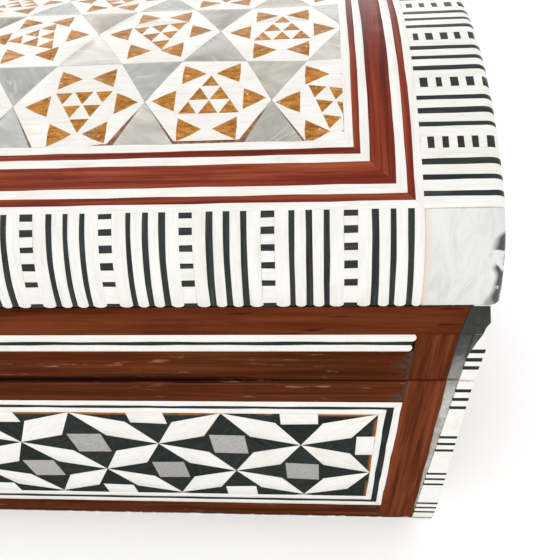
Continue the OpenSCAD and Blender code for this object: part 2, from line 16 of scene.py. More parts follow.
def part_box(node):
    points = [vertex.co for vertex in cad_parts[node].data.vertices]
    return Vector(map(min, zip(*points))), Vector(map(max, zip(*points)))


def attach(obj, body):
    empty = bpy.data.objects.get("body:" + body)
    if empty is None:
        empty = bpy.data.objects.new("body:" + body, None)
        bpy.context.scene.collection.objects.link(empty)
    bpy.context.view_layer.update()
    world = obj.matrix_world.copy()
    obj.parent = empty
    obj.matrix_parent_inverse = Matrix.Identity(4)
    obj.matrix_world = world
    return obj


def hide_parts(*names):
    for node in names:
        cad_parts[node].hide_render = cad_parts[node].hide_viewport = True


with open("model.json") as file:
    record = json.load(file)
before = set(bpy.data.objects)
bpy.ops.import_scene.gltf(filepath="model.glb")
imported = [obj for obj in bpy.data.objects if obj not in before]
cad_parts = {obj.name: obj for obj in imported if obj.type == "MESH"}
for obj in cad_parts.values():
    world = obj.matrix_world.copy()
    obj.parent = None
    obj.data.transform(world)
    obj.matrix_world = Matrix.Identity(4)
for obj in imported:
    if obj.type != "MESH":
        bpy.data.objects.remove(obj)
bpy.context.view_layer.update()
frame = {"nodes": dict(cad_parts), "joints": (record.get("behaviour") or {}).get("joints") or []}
MM = 0.001
rng = random.Random(11)


def low(node, axis):
    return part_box(node)[0][axis] / MM


def high(node, axis):
    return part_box(node)[1][axis] / MM


# ---- Measures, from the frame where it has them ----

X, Y, Z = 0, 1, 2
HALF_W = high("roof_corner_blocks", X)
HALF_D = high("back_rails", Y)
CROWN = high("roof_stars", Z)
SKIN = HALF_D - high("back_wall", Y)
END_X = low("right_border_bone", X)
LID_Z = low("lid_front_wall", Z)
CASE_H = high("front_wall", Z)
FELT = high("base_felt", Z)
EAVES_Z = high("lid_front_wall", Z)
BAND_FOOT_Z = low("roof_band_bone", Z)
POST_X0 = high("front_rails", X)
FIELD_LOW, FIELD_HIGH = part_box("front_panel_ebony")
PANEL_X = FIELD_HIGH[X] / MM
PANEL_Z0 = FIELD_LOW[Z] / MM
PANEL_Z1 = FIELD_HIGH[Z] / MM
MOSAIC_X = high("roof_mastic", X)
BAND_X = high("roof_lines_bone", X)

# The roof's arch: a wide middle arc, and a tight one towards the front and the back
ROOF_R = 60
EAVE_R = 15
JOIN = math.radians(26.2)
ROOF_CZ = CROWN - ROOF_R
EAVE_CY = (ROOF_R - EAVE_R) * math.sin(JOIN)
EAVE_CZ = ROOF_CZ + (ROOF_R - EAVE_R) * math.cos(JOIN)
JOIN_ARC = ROOF_R * JOIN
FOOT_ARC = JOIN_ARC + EAVE_R * (math.acos((BAND_FOOT_Z - EAVE_CZ) / EAVE_R) - JOIN)
ROOF_EDGE_R = 1.4

# Half of the mosaic round the arch, and the white and red lines round it, from the inside out
MOSAIC_ARC = 20.9
BORDER = (1.0, 0.8, 1.0, 2.75, 1.1, 0.85, 0.9)
BAND_ARC = MOSAIC_ARC + sum(BORDER)
MASTIC_T = 0.5

# The back faces are bevelled on both sides of the hinge axis, so that the lid can lean back
AXIS_Y, AXIS_Z = (c / MM for c in frame["joints"][0]["pos_m"][1:])
BEVEL_ANGLE = 56
BEVEL_SLOPE = math.tan(math.radians(BEVEL_ANGLE))
BEVEL_DROP = (HALF_D - AXIS_Y) * BEVEL_SLOPE

# Pitches of the stars and of the striped bands, and widths of stripes, rungs and lines
STAR_PITCH = 16.1
ROW_PITCH = STAR_PITCH * math.sqrt(3) / 2
BAND_PITCH = 9.04
END_PITCH = 8.6
STRIPE_PITCH = 1.9
STRIPE_W = 0.72
RUNG_W = 1.5
LINE_LOW = (1.65, 1.0, 1.65)
LINE_HIGH = (1.35, 0.7, 1.35)
LINE_SIDE = (1.0, 0.95, 0.95)
LID_LINE = (1.3, 0.65, 1.35)
# The panel's lattice of lozenges, and the squares at its knots
LATTICE_W = 21.7
LATTICE_H = 19.75
LOZENGE_HALF = 3.0
SQUARE_W = 5.3
SQUARE_H = 6.2

# The usual gap between two tiles, and the bevel round a tile's top
GAP = 0.02
BEVEL = 0.035


# ---- Surfaces: (u, v, h) arrays in millimetres to points ----

def rounded(a, edge, radius):
    """How far a surface falls near its rounded edge."""
    t = np.clip(np.abs(a) - (edge - radius), 0, radius)
    return radius - np.sqrt(radius ** 2 - t ** 2)


def on_front(u, v, h):
    return u, -HALF_D - h, v


def on_back(u, v, h):
    fall = np.clip((BEVEL_DROP - np.abs(v - AXIS_Z)) / BEVEL_SLOPE, 0, SKIN)
    return -u, HALF_D + np.clip(h, -SKIN, -fall), v


def on_arch(s, h):
    """Place in Y and Z at an arc length from the crown and a height over the roof surface."""
    flat = np.abs(s) <= JOIN_ARC
    angle = np.where(flat, np.abs(s) / ROOF_R, JOIN + (np.abs(s) - JOIN_ARC) / EAVE_R)
    radius = np.where(flat, ROOF_R, EAVE_R) + h
    y = np.where(flat, 0, EAVE_CY) + radius * np.sin(angle)
    z = np.where(flat, ROOF_CZ, EAVE_CZ) + radius * np.cos(angle)
    return np.sign(s) * y, z


def on_roof(u, v, h):
    top = np.where(h > -SKIN / 2, h - rounded(u, HALF_W, ROOF_EDGE_R), h)
    y, z = on_arch(v, top)
    return u, y, z


# ---- Flat outlines ----

def clean(points):
    out = []
    for p in points:
        if not out or math.dist(p, out[-1]) > 0.01:
            out.append(p)
    while len(out) > 1 and math.dist(out[0], out[-1]) < 0.01:
        out.pop()
    return out


def area(points):
    return sum(
        a[0] * b[1] - b[0] * a[1] for a, b in zip(points, points[1:] + points[:1])
    ) / 2


def inset(points, d):
    """An outline moved inwards by d, corner by corner; outlines run counter-clockwise."""
    out = []
    for i, p in enumerate(points):
        a = Vector(points[i - 1])
        b = Vector(p)
        c = Vector(points[(i + 1) % len(points)])
        n1 = Vector((a.y - b.y, b.x - a.x)).normalized()
        n2 = Vector((b.y - c.y, c.x - b.x)).normalized()
        m = n1 + n2
        if m.length < 0.3:
            m = n1
        m = m.normalized()
        out.append(tuple(b + m * d / max(m.dot(n1), 0.35)))
    return out


def cut(points, at, way):
    """The part of an outline on the near side of a line through at, whose far side is towards way."""
    out = []
    for i, p in enumerate(points):
        q = points[(i + 1) % len(points)]
        dp = (p[0] - at[0]) * way[0] + (p[1] - at[1]) * way[1]
        dq = (q[0] - at[0]) * way[0] + (q[1] - at[1]) * way[1]
        if dp <= 0:
            out.append(p)
        if dp * dq < 0:
            t = dp / (dp - dq)
            out.append((p[0] + t * (q[0] - p[0]), p[1] + t * (q[1] - p[1])))
    return out


def within(points, u0, u1, v0, v1):
    for at, way in (((u0, 0), (-1, 0)), ((u1, 0), (1, 0)), ((0, v0), (0, -1)), ((0, v1), (0, 1))):
        points = cut(points, at, way)
        if len(points) < 3:
            return []
    return points


def turned(points, angle, at=(0, 0)):
    c, s = math.cos(angle), math.sin(angle)
    return [(at[0] + c * x - s * y, at[1] + s * x + c * y) for x, y in points]


def ring_points(count, radius, start=0.0):
    step = 2 * math.pi / count
    angles = [start + k * step for k in range(count)]
    return [(radius * math.cos(angle), radius * math.sin(angle)) for angle in angles]


def waver(seed, t, size=1.0):
    """The small wandering of a hand-laid line."""
    return size * (0.05 * math.sin(0.41 * t + 2.1 * seed) + 0.03 * math.sin(1.27 * t + 5.3 * seed))


# ---- Tiles ----

class Tiles:
    """Tiles of one material on one surface, gathered into one piece."""

    def __init__(self, surface):
        self.surface = surface
        self.points = []
        self.faces = []
        self.grain = []
        self.tone = []

    def add(self, outline, lie=0.0, depth=SKIN, gap=GAP, bevel=BEVEL, tone=None, sink=0.0):
        """lie is the direction of the grain, sink how far the top lies under the surface."""
        outline = clean(outline)
        if len(outline) < 3:
            return
        if area(outline) < 0:
            outline = outline[::-1]
        if area(outline) < 0.02:
            return
        tone = rng.random() if tone is None else tone
        top = -sink - rng.uniform(0, 0.012)
        edge = inset(outline, gap / 2)
        face = inset(outline, gap / 2 + bevel)
        if area(face) < 0.01:
            return
        start = len(self.points)
        n = len(outline)
        rings = ((edge, -depth), (edge, top - bevel * 0.7), (face, top))
        shift = Vector((rng.uniform(-300, 300), rng.uniform(-300, 300), rng.uniform(-90, 90)))
        c, s = math.cos(lie), math.sin(lie)
        for ring, h in rings:
            for u, v in ring:
                self.points.append((u, v, h))
                self.grain.append((c * u + s * v + shift.x, c * v - s * u + shift.y, h + shift.z))
                self.tone.append(tone)
        self.faces.append([start + k for k in range(n)][::-1])
        for level in range(2):
            a = start + level * n
            for k in range(n):
                j = (k + 1) % n
                self.faces.append([a + k, a + j, a + n + j, a + n + k])
        self.faces.append([start + 2 * n + k for k in range(n)])

    def ribbon(
        self, low_ends, high_ends, low_at, high_at, seeds,
        along="u", step=3.0, nose=0.0, sway=1.0, **more,
    ):
        """A strip between two wandering lines, with mitred ends or a rounded nose at the far end."""
        def line(ends, at, seed):
            count = max(1, round(abs(ends[1] - ends[0]) / step))
            out = []
            for k in range(count + 1):
                a = ends[0] + (ends[1] - ends[0]) * k / count
                out.append((a, (at(a) if callable(at) else at) + (waver(seed, a, sway) if seed else 0)))
            return out
        low_line = line(low_ends, low_at, seeds[0])
        high_line = line(high_ends, high_at, seeds[1])
        tip = []
        if nose:
            way = math.copysign(nose, low_ends[1] - low_ends[0])
            a, b = low_line[-1], high_line[-1]
            tip = [
                (a[0] + way * reach, a[1] + (b[1] - a[1]) * share)
                for share, reach in ((0.12, 0.6), (0.35, 1.0), (0.65, 1.0), (0.88, 0.6))
            ]
        points = low_line + tip + high_line[::-1]
        if along == "v":
            points = [(b, a) for a, b in points]
        self.add(points, lie=0.0 if along == "u" else math.pi / 2, **more)

    def ring(self, inner, outer, seeds, **more):
        """A mitred frame between two rectangles, each (u0, u1, v0, v1)."""
        a, b = inner, outer
        self.ribbon((b[0], b[1]), (a[0], a[1]), b[2], a[2], (seeds[1], seeds[0]), **more)
        self.ribbon((a[0], a[1]), (b[0], b[1]), a[3], b[3], seeds, **more)
        self.ribbon((b[2], b[3]), (a[2], a[3]), b[0], a[0], (seeds[1], seeds[0]), along="v", **more)
        self.ribbon((a[2], a[3]), (b[2], b[3]), a[1], b[1], seeds, along="v", **more)


def split_along(bm, axis, places):
    """Cuts every face of a flat mesh along the given places, so that it can bend there."""
    normal = Vector((0, 0, 0))
    normal[axis] = 1
    for place in places:
        bmesh.ops.bisect_plane(
            bm, geom=bm.verts[:] + bm.edges[:] + bm.faces[:], dist=1e-5,
            plane_co=normal * place, plane_no=normal,
        )


# Where the tiles of the roof bend: evenly over the middle arc, closer over the tight arcs and at the ends
CROWN_STEP = 2.6
EAVE_STEP = 1.15
EDGE_DROPS = (ROOF_EDGE_R, 1.0, 0.65, 0.35, 0.12)
ROOF_SPLITS = [k * CROWN_STEP for k in range(-10, 11)]
ROOF_SPLITS += [side * (JOIN_ARC + k * EAVE_STEP) for side in (-1, 1) for k in range(12)]
EDGE_SPLITS = [side * (HALF_W - drop) for side in (-1, 1) for drop in EDGE_DROPS]
ROOF_BENDS = ((1, ROOF_SPLITS), (0, EDGE_SPLITS))
BACK_BENDS = ((1, (AXIS_Z - BEVEL_DROP, AXIS_Z + BEVEL_DROP)),)


def finish_piece(name, mesh, material, body, replaced=(), smooth=35):
    mesh.validate()
    mesh.polygons.foreach_set("use_smooth", [True] * len(mesh.polygons))
    mesh.set_sharp_from_angle(angle=math.radians(smooth))
    mesh.materials.append(material)
    piece = bpy.data.objects.new(name, mesh)
    bpy.context.scene.collection.objects.link(piece)
    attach(piece, body)
    if replaced:
        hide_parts(*replaced)
    return piece


def lay(name, tiles, material, body, replaced=(), bends=()):
    """Wraps gathered tiles onto their surface as one Blender piece."""
    mesh = bpy.data.meshes.new(name)
    mesh.from_pydata(tiles.points, [], tiles.faces)
    grain = mesh.attributes.new("grain", "FLOAT_VECTOR", "POINT")
    grain.data.foreach_set("vector", np.array(tiles.grain, np.float32).ravel())
    tone = mesh.attributes.new("tone", "FLOAT", "POINT")
    tone.data.foreach_set("value", np.array(tiles.tone, np.float32))
    if bends:
        bm = bmesh.new()
        bm.from_mesh(mesh)
        bmesh.ops.triangulate(bm, faces=[f for f in bm.faces if len(f.verts) > 4])
        for axis, places in bends:
            split_along(bm, axis, places)
        bm.to_mesh(mesh)
        bm.free()
    co = np.zeros(len(mesh.vertices) * 3, np.float32)
    mesh.vertices.foreach_get("co", co)
    u, v, h = co.reshape(-1, 3).astype(float).T
    x, y, z = tiles.surface(u, v, h)
    mesh.vertices.foreach_set("co", (np.stack([x, y, z], 1) * MM).astype(np.float32).ravel())
    bm = bmesh.new()
    bm.from_mesh(mesh)
    bmesh.ops.recalc_face_normals(bm, faces=bm.faces)
    bm.to_mesh(mesh)
    bm.free()
    return finish_piece(name, mesh, material, body, replaced)


# ---- Materials ----

class Paint:
    """A short way to write a node material on Principled BSDF."""

    def __init__(self, name, stretch=(1, 1, 1), own=True):
        self.material = bpy.data.materials.new(name)
        self.material.use_nodes = True
        self.tree = self.material.node_tree
        self.shader = self.tree.nodes["Principled BSDF"]
        if own:
            source = self.node("Attribute")
            source.attribute_name = "grain"
            place = source.outputs["Vector"]
            tone = self.node("Attribute")
            tone.attribute_name = "tone"
            self.tone = tone.outputs["Fac"]
        else:
            place = self.mapped(self.node("TexCoord").outputs["Object"], (1000, 1000, 1000))
            self.tone = self.noise(place, 0.05, 1)
        self.place = place
        self.along = self.mapped(place, stretch)

    def node(self, kind):
        return self.tree.nodes.new("ShaderNode" + kind)

    def link(self, a, b):
        self.tree.links.new(a, b)

    def mapped(self, place, scale):
        node = self.node("Mapping")
        node.inputs["Scale"].default_value = scale
        self.link(place, node.inputs["Vector"])
        return node.outputs["Vector"]

    def noise(self, place, scale, detail=4, distort=0.0, rough=0.55):
        node = self.node("TexNoise")
        node.inputs["Scale"].default_value = scale
        node.inputs["Detail"].default_value = detail
        node.inputs["Distortion"].default_value = distort
        node.inputs["Roughness"].default_value = rough
        self.link(place, node.inputs["Vector"])
        return node.outputs["Fac"]

    def cells(self, place, scale, feature="F1"):
        node = self.node("TexVoronoi")
        node.feature = feature
        node.inputs["Scale"].default_value = scale
        self.link(place, node.inputs["Vector"])
        return node.outputs["Distance"]

    def ramp(self, value, *stops):
        node = self.node("ValToRGB")
        elements = node.color_ramp.elements
        while len(elements) < len(stops):
            elements.new(0.5)
        for element, (at, colour) in zip(elements, stops):
            element.position = at
            element.color = (*colour, 1) if len(colour) == 3 else colour
        self.link(value, node.inputs["Fac"])
        return node.outputs["Color"]

    def levels(self, value, low_in, high_in, low_out=0.0, high_out=1.0):
        node = self.node("MapRange")
        node.inputs["From Min"].default_value = low_in
        node.inputs["From Max"].default_value = high_in
        node.inputs["To Min"].default_value = low_out
        node.inputs["To Max"].default_value = high_out
        self.link(value, node.inputs["Value"])
        return node.outputs["Result"]

    def spread(self, value, low_out, high_out):
        """Noise, which lies mostly between 0.3 and 0.7, brought to other limits."""
        return self.levels(value, 0.3, 0.7, low_out, high_out)

    def mix(self, how, share, a, b):
        node = self.node("Mix")
        node.data_type = "RGBA"
        node.blend_type = how
        for socket, value in ((node.inputs[0], share), (node.inputs[6], a), (node.inputs[7], b)):
            if isinstance(value, bpy.types.NodeSocket):
                self.link(value, socket)
            elif isinstance(value, tuple):
                socket.default_value = (*value, 1)
            else:
                socket.default_value = value
        return node.outputs[2]

    def maths(self, a, b, how="ADD"):
        node = self.node("Math")
        node.operation = how
        for socket, value in zip(node.inputs, (a, b)):
            if isinstance(value, bpy.types.NodeSocket):
                self.link(value, socket)
            else:
                socket.default_value = value
        return node.outputs[0]

    def blend(self, share, a, b):
        return self.mix("MIX", share, a, b)

    def shade(self, share, colour, value, *stops):
        """The colour multiplied by a ramp."""
        return self.mix("MULTIPLY", share, colour, self.ramp(value, *stops))

    def times(self, a, b):
        return self.maths(a, b, "MULTIPLY")

    def place_of(self, axis):
        """The object's own X, Y or Z in millimetres."""
        parts = self.node("SeparateXYZ")
        self.link(self.node("TexCoord").outputs["Object"], parts.inputs[0])
        return self.maths(parts.outputs[axis], 1 / MM, "MULTIPLY")

    def from_middle(self, axis):
        """How far a place lies from the object's middle along an axis."""
        return self.maths(self.place_of(axis), 0.0, "ABSOLUTE")

    def finish(self, colour, rough, height=None, strength=0.3, distance=0.02, **fixed):
        """fixed are constant values of the shader's own sockets, with _ for a space."""
        self.link(colour, self.shader.inputs["Base Color"])
        if isinstance(rough, bpy.types.NodeSocket):
            self.link(rough, self.shader.inputs["Roughness"])
        else:
            self.shader.inputs["Roughness"].default_value = rough
        if height is not None:
            bump = self.node("Bump")
            bump.inputs["Strength"].default_value = strength
            bump.inputs["Distance"].default_value = distance * MM
            self.link(height, bump.inputs["Height"])
            self.link(bump.outputs["Normal"], self.shader.inputs["Normal"])
        for key, value in fixed.items():
            self.shader.inputs[key.replace("_", " ")].default_value = value
        return self.material


def glue_edge(p):
    """Amber glue between the panel's tiles and its white line, thick at the top and the ends."""
    top = p.levels(p.place_of(Z), PANEL_Z1 - 0.75, PANEL_Z1 - 0.15)
    end = p.levels(p.from_middle(X), PANEL_X - 0.6, PANEL_X - 0.1, 0.0, 0.8)
    where = p.node("TexCoord").outputs["Object"]
    patch = p.levels(p.noise(p.mapped(where, (1000, 1000, 1000)), 0.16, 3), 0.44, 0.54)
    return p.times(p.maths(top, end, "MAXIMUM"), patch)


def wear_and_seam_shade(p, colour):
    """Glue by the posts, painted shade along the seam between case and lid, and pale scuffs."""
    cloud = p.levels(p.noise(p.mapped(p.place, (0.5, 1, 1)), 0.14, 2), 0.4, 0.65, 0.0, 0.6)
    colour = p.mix("MULTIPLY", cloud, colour, (0.7, 0.98, 0.85))
    side = p.from_middle(X)
    beside = p.levels(side, POST_X0 - 2.6, POST_X0 - 0.2)
    patch = p.levels(p.noise(p.place, 0.45, 4, 0.8), 0.5, 0.6, 0.0, 0.9)
    line = p.levels(side, POST_X0 - 0.45, POST_X0 - 0.15, 0.0, 0.75)
    line = p.times(line, p.levels(p.place_of(Z), CASE_H - 6, CASE_H - 3))
    glue = p.maths(p.times(beside, patch), line, "MAXIMUM")
    colour = p.blend(glue, colour, (0.055, 0.055, 0.048))
    # Painted shade: a ragged dark band along the gap between case and lid. It is strong on the left and in
    # the middle, weaker towards the right end, and stands in for the shadow in the seam.
    ragged = p.spread(p.noise(p.mapped(p.place, (0.25, 1, 1)), 0.8, 4), -0.2, 0.2)
    off = p.maths(p.maths(p.place_of(Z), -(CASE_H + LID_Z) / 2), 0.0, "ABSOLUTE")
    seam_shade = p.levels(p.maths(off, ragged), 0.6, 0.9, 0.92, 0.0)
    seam_shade = p.times(seam_shade, p.levels(p.place_of(X), 44, 22, 0.15, 1.0))
    colour = p.blend(seam_shade, colour, (0.016, 0.004, 0.002))
    scuff = p.noise(p.mapped(p.place, (0.12, 0.6, 0.9)), 0.8, 4, 0.6)
    fine = p.levels(p.noise(p.mapped(p.place, (0.5, 2.5, 3.5)), 1.0, 3), 0.52, 0.62)
    scuff = p.times(p.levels(scuff, 0.58, 0.7, 0.0, 0.7), fine)
    return p.blend(scuff, colour, (0.4, 0.19, 0.11))


WHITE = (1.0, 1.0, 1.0)
LACQUER = {"Specular_IOR_Level": 0.1, "Coat_Weight": 0.06, "Coat_Roughness": 0.1}
WAXED = {"Specular_IOR_Level": 0.0, "Coat_Weight": 0.01, "Coat_Roughness": 0.15}


def bone_material(name, own=True, stretch=(0.25, 2.2, 2.2)):
    p = Paint(name, stretch, own)
    streak = p.noise(p.along, 1.0, 5)
    cloud = p.noise(p.place, 0.25, 2)
    colour = p.ramp(
        streak, (0.3, (0.77, 0.755, 0.71)), (0.5, (0.845, 0.835, 0.8)), (0.75, (0.88, 0.875, 0.85)),
    )
    colour = p.shade(0.8, colour, p.tone, (0.0, (0.95, 0.945, 0.92)), (0.6, WHITE))
    colour = p.shade(0.5, colour, cloud, (0.3, (0.92, 0.9, 0.85)), (0.6, WHITE))
    pores = p.levels(p.noise(p.along, 3.5, 3), 0.68, 0.78, 0.0, 0.45)
    colour = p.blend(pores, colour, (0.62, 0.58, 0.5))
    rough = p.levels(streak, 0.2, 0.8, 0.34, 0.24)
    height = p.maths(streak, cloud)
    return p.finish(colour, rough, height, 0.35, 0.02, **LACQUER)


def ebony_material(name, own=True, finish=LACQUER, glued=False):
    p = Paint(name, (0.2, 3.0, 3.0), own)
    streak = p.noise(p.along, 1.2, 5)
    colour = p.ramp(
        streak, (0.35, (0.014, 0.017, 0.016)), (0.62, (0.03, 0.035, 0.032)), (0.8, (0.064, 0.064, 0.057)),
    )
    colour = p.mix("ADD", p.levels(p.tone, 0, 1, 0.0, 0.4), colour, (0.014, 0.017, 0.015))
    scratch = p.levels(p.noise(p.mapped(p.place, (0.4, 6, 2)), 1.3, 2), 0.72, 0.76, 0.0, 0.35)
    colour = p.blend(scratch, colour, (0.22, 0.2, 0.18))
    if glued:
        colour = p.blend(glue_edge(p), colour, (0.42, 0.14, 0.025))
    return p.finish(colour, p.spread(streak, 0.36, 0.26), streak, 0.3, 0.02, **finish)


FIGURE = 0.6


def wood_material(
    name, dark, middle, light, own=True, stretch=(0.035, 0.9, 0.9), finish=WAXED, worn_and_seam_shaded=False,
):
    """Straight-grained wood: broad figure, fine fibres and short dark pores along the first axis."""
    p = Paint(name, stretch, own)
    figure = p.noise(p.along, 0.9, 3, 0.6)
    fibre = p.noise(p.mapped(p.along, (1.6, 5.0, 5.0)), 1.0, 6, 0.2, 0.65)
    grain = p.maths(p.spread(figure, 0.0, FIGURE), p.spread(fibre, 0.0, 1.0 - FIGURE))
    grain = p.maths(grain, p.levels(p.tone, 0, 1, -0.08, 0.08))
    colour = p.ramp(grain, (0.12, dark), (0.48, middle), (0.9, light))
    pores = p.noise(p.mapped(p.along, (4.5, 7.5, 7.5)), 1.0, 3)
    pores = p.levels(pores, 0.62, 0.72, 0.0, 0.75)
    colour = p.blend(pores, colour, tuple(c * 0.3 for c in dark))
    # The wear brings a painted shadow along the case-lid seam as well as glue and scuffs.
    if worn_and_seam_shaded:
        colour = wear_and_seam_shade(p, colour)
    rough = p.spread(fibre, 0.3, 0.4)
    return p.finish(colour, rough, p.maths(fibre, p.levels(pores, 0, 1, 0, -0.8)), 0.35, 0.04, **finish)


def star_wood_material():
    p = Paint("star_wood", (0.5, 1.6, 1.0))
    mottle = p.noise(p.along, 1.3, 5, 0.8)
    colour = p.ramp(
        mottle, (0.3, (0.22, 0.078, 0.009)), (0.5, (0.45, 0.185, 0.03)), (0.72, (0.63, 0.31, 0.075)),
    )
    colour = p.shade(0.7, colour, p.tone, (0.0, (0.82, 0.78, 0.72)), (1.0, (1.08, 1.04, 1.0)))
    speck = p.levels(p.cells(p.place, 2.2), 0.12, 0.26, 0.75, 0.0)
    colour = p.blend(speck, colour, (0.14, 0.055, 0.015))
    hole = p.levels(p.noise(p.place, 1.9, 2), 0.66, 0.71, 0.0, 0.75)
    colour = p.blend(hole, colour, (0.78, 0.66, 0.48))
    return p.finish(colour, p.spread(mottle, 0.42, 0.3), mottle, 0.4, 0.05, **LACQUER)


def pearl_material():
    p = Paint("pearl", (0.5, 1.0, 0.6))
    flow = p.noise(p.along, 0.28, 3, 1.4)
    band = p.noise(p.mapped(p.along, (0.5, 1.5, 1)), 0.55, 4, 2.0)
    hue = p.ramp(
        p.tone, (0.0, (0.4, 0.405, 0.39)), (0.22, (0.52, 0.52, 0.49)), (0.42, (0.58, 0.535, 0.47)),
        (0.6, (0.33, 0.3, 0.26)), (0.8, (0.45, 0.45, 0.415)), (1.0, (0.6, 0.5, 0.37)),
    )
    light = p.ramp(flow, (0.3, (0.78, 0.78, 0.77)), (0.5, WHITE), (0.7, (1.2, 1.19, 1.17)))
    colour = p.mix("MULTIPLY", 0.85, hue, light)
    # Painted highlight: pale patches blended into the colour where the band noise is high stand in for
    # glints of light on the nacre.
    painted_glint = p.levels(band, 0.58, 0.72, 0.0, 0.42)
    colour = p.blend(painted_glint, colour, (0.8, 0.785, 0.75))
    shade = p.levels(band, 0.3, 0.42, 0.45, 0.0)
    colour = p.blend(shade, colour, (0.36, 0.355, 0.34))
    rough = p.spread(band, 0.16, 0.34)
    return p.finish(
        colour, rough, flow, 0.35, 0.05, Metallic=0.1, Specular_IOR_Level=0.2,
        Coat_Weight=0.08, Coat_Roughness=0.1,
    )


def block_material():
    """A pale pearl block: level on top, warm by the border, dark and chipped at its outer rim."""
    p = Paint("block_pearl", (0.3, 0.8, 0.8))
    flow = p.noise(p.along, 0.5, 5, 1.6)
    colour = p.ramp(flow, (0.25, (0.6, 0.61, 0.6)), (0.5, (0.71, 0.715, 0.69)), (0.75, (0.77, 0.765, 0.74)))
    side = p.from_middle(X)
    warm = p.levels(side, BAND_X + 0.1, BAND_X + 0.9, 0.75, 0.0)
    colour = p.blend(warm, colour, (0.74, 0.62, 0.49))
    ragged = p.spread(p.noise(p.place, 0.22, 2, 0.5), -1.2, 1.2)
    low_down = p.levels(p.place_of(Z), 72.0, 64.0, -0.9, 2.2)
    rim = p.levels(p.maths(p.maths(side, ragged), low_down), HALF_W + 0.1, HALF_W + 1.0)
    chips = p.levels(p.noise(p.place, 0.45, 3, 0.6), 0.52, 0.62, 1.0, 0.0)
    colour = p.blend(p.times(rim, chips), colour, (0.075, 0.078, 0.075))
    return p.finish(colour, p.spread(flow, 0.22, 0.34), flow, 0.3, 0.04, Metallic=0.1, **LACQUER)


def grey_material():
    p = Paint("grey_bone", (0.8, 2.0, 2.0))
    streak = p.noise(p.along, 2.6, 4, 0.3)
    colour = p.ramp(
        streak, (0.3, (0.3, 0.295, 0.285)), (0.5, (0.39, 0.385, 0.375)), (0.7, (0.5, 0.49, 0.475)),
    )
    colour = p.shade(0.5, colour, p.tone, (0.0, (0.75, 0.75, 0.75)), (1.0, (1.1, 1.1, 1.1)))
    return p.finish(colour, 0.4, streak, 0.4, 0.03, **WAXED)


def filler_material():
    """Hard glue and filler: nearly black under the roof, pale grey lower down."""
    p = Paint("filler", own=False)
    lump = p.noise(p.place, 0.55, 4, 0.6)
    grit = p.noise(p.place, 3.0, 3)
    height = p.maths(p.place_of(Z), p.spread(lump, -3.5, 3.5))
    colour = p.ramp(
        p.levels(height, 34.0, 62.0), (0.0, (0.5, 0.48, 0.43)), (0.45, (0.56, 0.55, 0.52)),
        (0.62, (0.3, 0.3, 0.28)), (0.8, (0.085, 0.085, 0.078)), (1.0, (0.04, 0.042, 0.04)),
    )
    colour = p.shade(0.7, colour, lump, (0.35, (0.55, 0.53, 0.5)), (0.6, WHITE))
    colour = p.shade(0.4, colour, grit, (0.35, (0.55, 0.55, 0.55)), (0.6, WHITE))
    return p.finish(colour, 0.6, p.maths(lump, grit), 0.5, 0.08, Specular_IOR_Level=0.1)


def mastic_material():
    p = Paint("mastic", own=False)
    flow = p.noise(p.place, 0.8, 4, 1.0)
    brown = p.ramp(flow, (0.3, (0.1, 0.03, 0.01)), (0.5, (0.2, 0.075, 0.025)), (0.7, (0.4, 0.2, 0.085)))
    pale = p.ramp(flow, (0.3, (0.62, 0.58, 0.52)), (0.6, (0.8, 0.78, 0.74)))
    edge = p.levels(p.from_middle(Y), 15.2, 16.6)
    colour = p.blend(edge, pale, brown)
    rough = p.spread(flow, 0.25, 0.5)
    return p.finish(colour, rough, flow, 0.5, 0.1, Coat_Weight=0.3, Coat_Roughness=0.2)


def velvet_material():
    p = Paint("velvet", own=False)
    nap = p.noise(p.place, 0.35, 3, 0.6)
    fibre = p.noise(p.place, 9.0, 2)
    colour = p.ramp(nap, (0.3, (0.11, 0.004, 0.009)), (0.7, (0.26, 0.014, 0.026)))
    colour = p.shade(0.6, colour, fibre, (0.3, (0.55, 0.55, 0.55)), (0.7, (1.15, 1.15, 1.15)))
    return p.finish(
        colour, 0.9, fibre, 0.7, 0.12,
        Sheen_Weight=0.7, Sheen_Roughness=0.35, Sheen_Tint=(0.9, 0.3, 0.32, 1),
    )


def felt_material():
    p = Paint("felt", own=False)
    clump = p.noise(p.place, 0.7, 5, 0.5)
    colour = p.ramp(
        clump, (0.4, (0.014, 0.012, 0.01)), (0.53, (0.045, 0.038, 0.03)), (0.6, (0.42, 0.39, 0.34)),
    )
    return p.finish(colour, 0.95, clump, 0.8, 0.15, Sheen_Weight=0.3, Sheen_Roughness=0.5)


def metal_material(name, colour, tarnish, brush):
    p = Paint(name, brush, False)
    brushed = p.noise(p.along, 1.0, 4)
    stain = p.noise(p.place, 0.5, 4, 0.7)
    tint = p.blend(p.levels(stain, 0.45, 0.65, 0.0, 0.7), colour, tarnish)
    return p.finish(tint, p.spread(brushed, 0.22, 0.42), brushed, 0.4, 0.02, Metallic=1.0)


RAIL = ((0.048, 0.011, 0.004), (0.092, 0.021, 0.007), (0.165, 0.043, 0.016))
POST = ((0.05, 0.012, 0.004), (0.116, 0.028, 0.01), (0.2, 0.054, 0.022))
EAVES = ((0.036, 0.008, 0.002), (0.08, 0.016, 0.005), (0.16, 0.04, 0.014))
RED = ((0.07, 0.007, 0.003), (0.185, 0.021, 0.008), (0.34, 0.078, 0.026))
CARCASS = ((0.17, 0.08, 0.033), (0.31, 0.165, 0.075), (0.43, 0.255, 0.125))
ALONG_X = (0.035, 0.9, 0.9)
ALONG_Y = (0.9, 0.035, 0.9)

